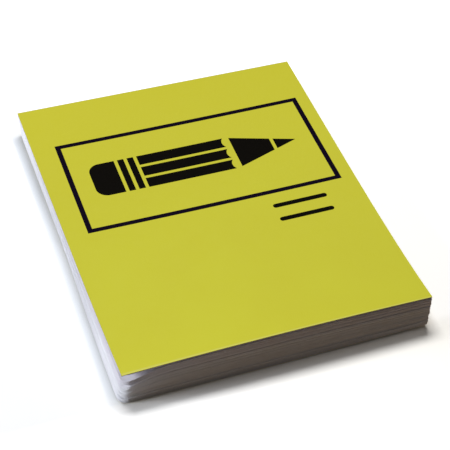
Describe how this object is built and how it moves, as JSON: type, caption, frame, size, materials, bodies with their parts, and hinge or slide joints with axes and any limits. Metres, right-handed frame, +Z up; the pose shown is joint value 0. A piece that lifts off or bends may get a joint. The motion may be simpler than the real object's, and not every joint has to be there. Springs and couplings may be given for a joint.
{
  "type": "sticky note pad",
  "caption": "Small pad of sticky notes with a printed cover sheet, held by adhesive at the head and splayed at the tail.",
  "frame": {"origin": "centre of the pad's flat base", "axes": "+X across the pad to its right side, +Y along the pad to the glued head, +Z up through the cover"},
  "size_m": [0.0769, 0.0971, 0.0096],
  "materials": {
    "cover_paper": "yellow-green printed cover paper, satin",
    "note_paper": "uncoated white note paper",
    "backing_paper": "smooth release-coated backing paper",
    "border_ink": "dark navy printed ink, satin",
    "black_ink": "black printed ink, satin"
  },
  "bodies": {
    "root": {"cover_sheet": "cover_paper", "note_stack": "note_paper", "backing_sheet": "backing_paper", "printed_border": "border_ink", "printed_pencil": "black_ink", "printed_bars": "black_ink"}
  },
  "joints": []
}
